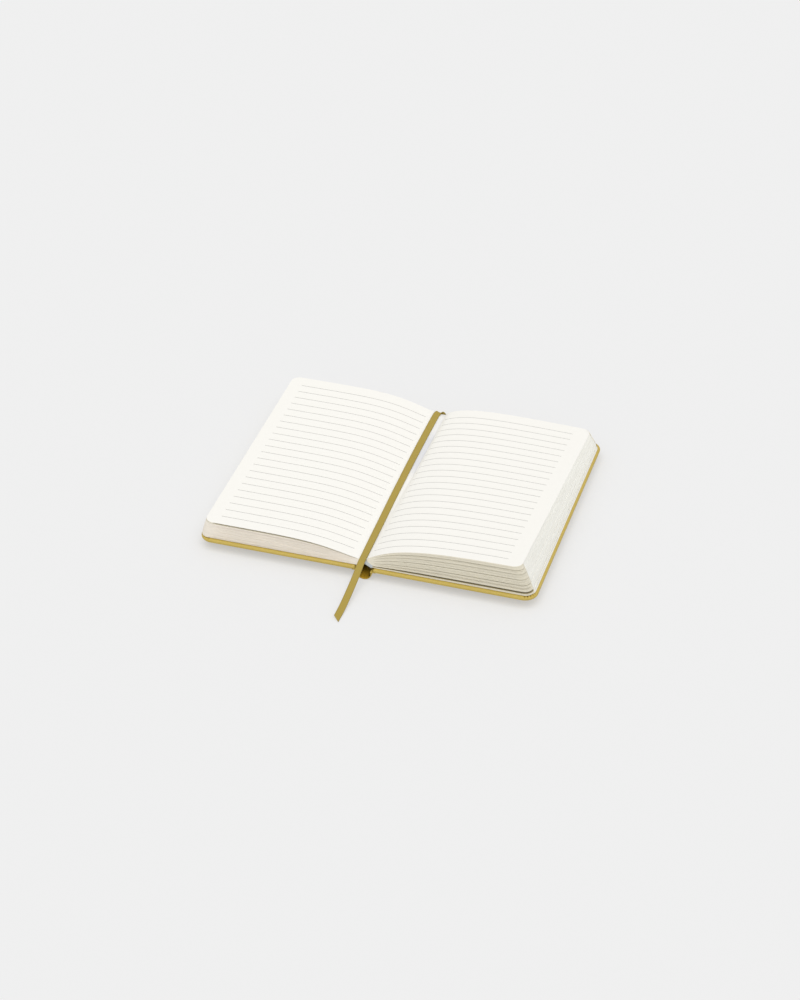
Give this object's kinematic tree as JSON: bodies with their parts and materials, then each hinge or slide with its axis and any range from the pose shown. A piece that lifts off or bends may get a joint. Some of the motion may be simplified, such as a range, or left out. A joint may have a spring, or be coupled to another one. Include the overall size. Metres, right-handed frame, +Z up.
{
  "type": "hardcover notebook",
  "caption": "Small hardcover notebook lying open, with ruled pages, rounded corners, a hollow bowed spine and a marker ribbon down the gutter.",
  "frame": {"origin": "on the surface the notebook lies on, under the middle of the open spread (the marker ribbon not counted)", "axes": "+X across the open spread towards the right page's fore edge, +Y from the tail of the pages to their head, +Z up out of the pages"},
  "size_m": [0.177, 0.1813, 0.0225],
  "materials": {
    "cover": "satin coated",
    "endpaper": "matte",
    "lining": "matte",
    "pages": "matte uncoated",
    "ribbon": "satin woven"
  },
  "bodies": {
    "book_block": {"page_block": "pages", "spine_lining": "lining", "spine_cover": "cover", "ribbon": "ribbon"},
    "front_board": {"front_cover": "cover", "front_endpaper": "endpaper"},
    "back_board": {"back_cover": "cover", "back_endpaper": "endpaper"}
  },
  "joints": [
    {"name": "front_hinge", "type": "hinge", "parent": "book_block", "child": "front_board", "pos_m": [-0.0046, 0, 0.00505], "axis": [0, -1, 0], "range_deg": [0, 85]},
    {"name": "back_hinge", "type": "hinge", "parent": "book_block", "child": "back_board", "pos_m": [0.0046, 0, 0.00505], "axis": [0, 1, 0], "range_deg": [0, 85]}
  ]
}
